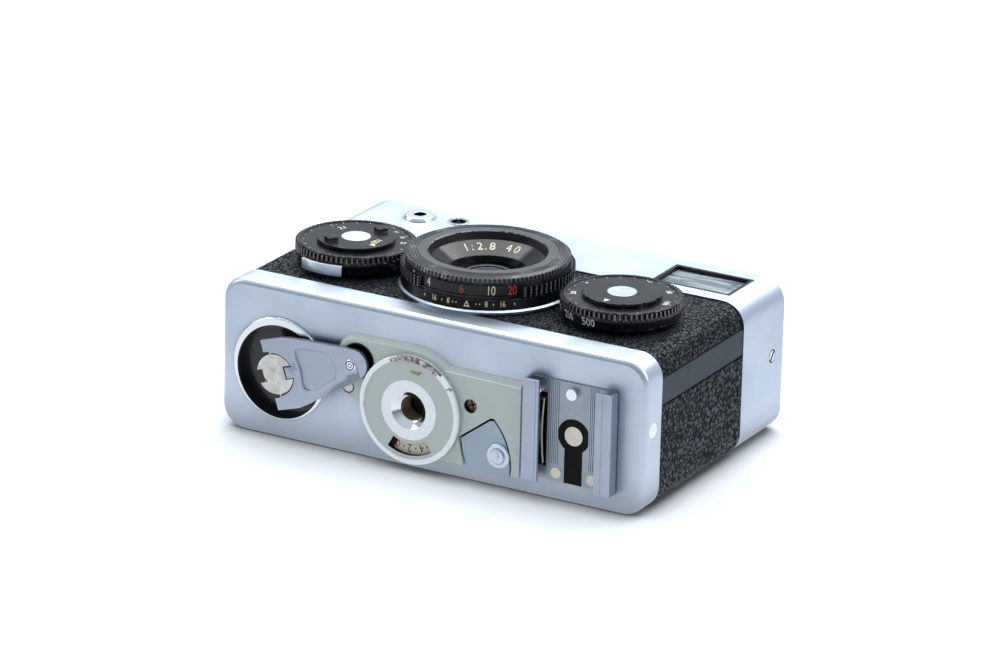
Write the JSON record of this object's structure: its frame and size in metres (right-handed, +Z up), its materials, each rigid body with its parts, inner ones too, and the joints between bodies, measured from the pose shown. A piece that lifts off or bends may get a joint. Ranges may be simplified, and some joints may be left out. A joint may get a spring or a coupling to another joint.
{
  "type": "compact film camera",
  "caption": "Compact 35 mm film camera lying on its back: collapsible lens between two dials, folding rewind crank, tripod socket and accessory shoe on the base plate.",
  "frame": {"origin": "middle of the back face that the camera rests on, halfway along its width and its height", "axes": "+X along the width towards the viewfinder end, +Y towards the top plate, +Z up along the lens axis out of the front"},
  "size_m": [0.097, 0.0664, 0.0399],
  "materials": {
    "satin_alloy": "satin anodised, cool silver",
    "polished_chrome": "polished",
    "dark_casting": "matt black lacquer on a die casting",
    "black_leather": "grained black leatherette",
    "slate_band": "matt slate",
    "black_enamel": "black satin enamel with filled figures",
    "black_gloss": "gloss black",
    "clear_glass": "polished",
    "coated_glass": "coated lens",
    "nickel": "satin nickel",
    "plate_enamel": "grey-green satin, worn to brass at the edges",
    "bright_alloy": "turned bright",
    "cream_enamel": "cream with black and red figures",
    "crank_alloy": "satin blue-grey",
    "brass": "tarnished",
    "red_paint": "matt red",
    "steel": "brushed"
  },
  "bodies": {
    "camera_body": {"chassis": "dark_casting", "front_leather": "black_leather", "side_bands": "slate_band", "top_shell": "satin_alloy", "shell_screws": "nickel", "viewfinder_tunnel": "dark_casting", "viewfinder_frame": "black_gloss", "viewfinder_glass": "clear_glass", "eyepiece": "black_gloss", "meter_cell": "bright_alloy", "sync_socket": "polished_chrome", "meter_housing": "dark_casting", "meter_glass": "clear_glass", "shutter_collar": "polished_chrome", "pressure_plate": "dark_casting", "lens_base_ring": "polished_chrome", "dial_seats": "dark_casting", "dial_screws": "nickel"},
    "back_unit": {"base_shell": "satin_alloy", "back_cover": "steel", "back_leather": "black_leather", "base_panel": "plate_enamel", "socket_boss": "plate_enamel", "tripod_bush": "bright_alloy", "crank_ring": "polished_chrome", "crank_well": "black_gloss", "knob_pocket": "black_gloss", "shoe_base": "steel", "shoe_rails": "crank_alloy", "shoe_insulator": "black_gloss", "shoe_contact": "nickel", "shoe_spring": "brass", "base_fasteners": "nickel"},
    "latch": {"back_latch": "crank_alloy", "latch_button": "crank_alloy"},
    "rewind": {"rewind_shaft": "nickel"},
    "crank": {"crank_arm": "crank_alloy"},
    "knob": {"crank_knob": "crank_alloy"},
    "counter": {"counter_disc": "cream_enamel"},
    "lens_barrel": {"lens_tube": "polished_chrome", "lens_core": "black_enamel", "depth_scale_ring": "black_enamel", "rear_glass": "coated_glass"},
    "focus": {"focus_ring": "black_enamel", "front_bezel": "black_enamel", "name_ring": "black_enamel", "front_glass": "coated_glass"},
    "aperture": {"aperture_dial": "black_enamel"},
    "film_speed": {"film_speed_disc": "black_enamel"},
    "aperture_catch": {"aperture_lock": "bright_alloy"},
    "shutter_speed": {"shutter_dial": "black_enamel"},
    "film_reminder": {"film_reminder_disc": "black_enamel"},
    "release_button": {"shutter_button": "polished_chrome"},
    "lens_unlock": {"lens_release": "polished_chrome"},
    "rewind_unlock": {"rewind_release": "satin_alloy"},
    "winding_lever": {"advance_lever": "satin_alloy"},
    "takeup": {"takeup_spool": "dark_casting"},
    "film_sprocket": {"sprocket": "steel"},
    "needle": {"meter_needle": "red_paint"}
  },
  "joints": [
    {"name": "back_slide", "type": "slide", "parent": "camera_body", "child": "back_unit", "axis": [0, -1, 0], "range_m": [0, 0.065]},
    {"name": "latch_turn", "type": "hinge", "parent": "back_unit", "child": "latch", "pos_m": [0.00574, -0.0305, 0.0049], "axis": [0, 1, 0], "range_deg": [0, 10]},
    {"name": "rewind_turn", "type": "hinge", "parent": "back_unit", "child": "rewind", "pos_m": [-0.0347, -0.03, 0.0143], "axis": [0, -1, 0], "range_deg": [-0.8, 0.8]},
    {"name": "crank_fold", "type": "hinge", "parent": "rewind", "child": "crank", "pos_m": [-0.0347, -0.0318, 0.0143], "axis": [0.3007, 0, -0.9537], "range_deg": [0, 180]},
    {"name": "knob_spin", "type": "hinge", "parent": "crank", "child": "knob", "pos_m": [-0.01706, -0.031, 0.01986], "axis": [0, -1, 0], "continuous": true},
    {"name": "counter_turn", "type": "hinge", "parent": "back_unit", "child": "counter", "pos_m": [-0.0035, -0.031, 0.01305], "axis": [0, -1, 0], "continuous": true},
    {"name": "lens_slide", "type": "slide", "parent": "camera_body", "child": "lens_barrel", "axis": [0, 0, 1], "range_m": [0, 0.0135]},
    {"name": "focus_turn", "type": "hinge", "parent": "lens_barrel", "child": "focus", "pos_m": [-0.0005, -0.0067, 0.038], "axis": [0, 0, 1], "range_deg": [-75, 75]},
    {"name": "aperture_turn", "type": "hinge", "parent": "camera_body", "child": "aperture", "pos_m": [-0.0306, -0.0077, 0.035], "axis": [0, 0, 1], "range_deg": [-75, 60]},
    {"name": "film_speed_turn", "type": "hinge", "parent": "aperture", "child": "film_speed", "pos_m": [-0.0306, -0.0077, 0.0372], "axis": [0, 0, 1], "range_deg": [-90, 60]},
    {"name": "aperture_catch_press", "type": "slide", "parent": "camera_body", "child": "aperture_catch", "axis": [0, 0, -1], "range_m": [0, 0.0005], "stiffness_N_per_m": 300},
    {"name": "shutter_speed_turn", "type": "hinge", "parent": "camera_body", "child": "shutter_speed", "pos_m": [0.0306, -0.0077, 0.035], "axis": [0, 0, 1], "range_deg": [-25, 175]},
    {"name": "film_reminder_turn", "type": "hinge", "parent": "shutter_speed", "child": "film_reminder", "pos_m": [0.0306, -0.0077, 0.0372], "axis": [0, 0, 1], "continuous": true},
    {"name": "shutter_press", "type": "slide", "parent": "camera_body", "child": "release_button", "axis": [0, -1, 0], "range_m": [0, 0.0016], "stiffness_N_per_m": 300},
    {"name": "lens_unlock_press", "type": "slide", "parent": "camera_body", "child": "lens_unlock", "axis": [0, -1, 0], "range_m": [0, 0.0012], "stiffness_N_per_m": 300},
    {"name": "rewind_unlock_turn", "type": "hinge", "parent": "camera_body", "child": "rewind_unlock", "pos_m": [0.0175, 0.0305, 0.024], "axis": [0, 1, 0], "range_deg": [0, 40]},
    {"name": "winding_turn", "type": "hinge", "parent": "camera_body", "child": "winding_lever", "pos_m": [0.0345, 0.031, 0.0162], "axis": [0, -1, 0], "range_deg": [0, 130], "stiffness_Nm_per_rad": 0.01},
    {"name": "takeup_spin", "type": "hinge", "parent": "camera_body", "child": "takeup", "pos_m": [0.0392, -0.007, 0.015], "axis": [0, 1, 0], "continuous": true},
    {"name": "sprocket_spin", "type": "hinge", "parent": "camera_body", "child": "film_sprocket", "pos_m": [0.0264, -0.007, 0.0114], "axis": [0, 1, 0], "continuous": true},
    {"name": "needle_swing", "type": "hinge", "parent": "camera_body", "child": "needle", "pos_m": [0, 0.026, 0.0132], "axis": [0, 1, 0], "range_deg": [-25, 25]}
  ],
  "couplings": [
    {"joint": "sprocket_spin", "follows": "takeup_spin", "ratio": 0.85},
    {"joint": "counter_turn", "follows": "takeup_spin", "ratio": -0.02125}
  ]
}
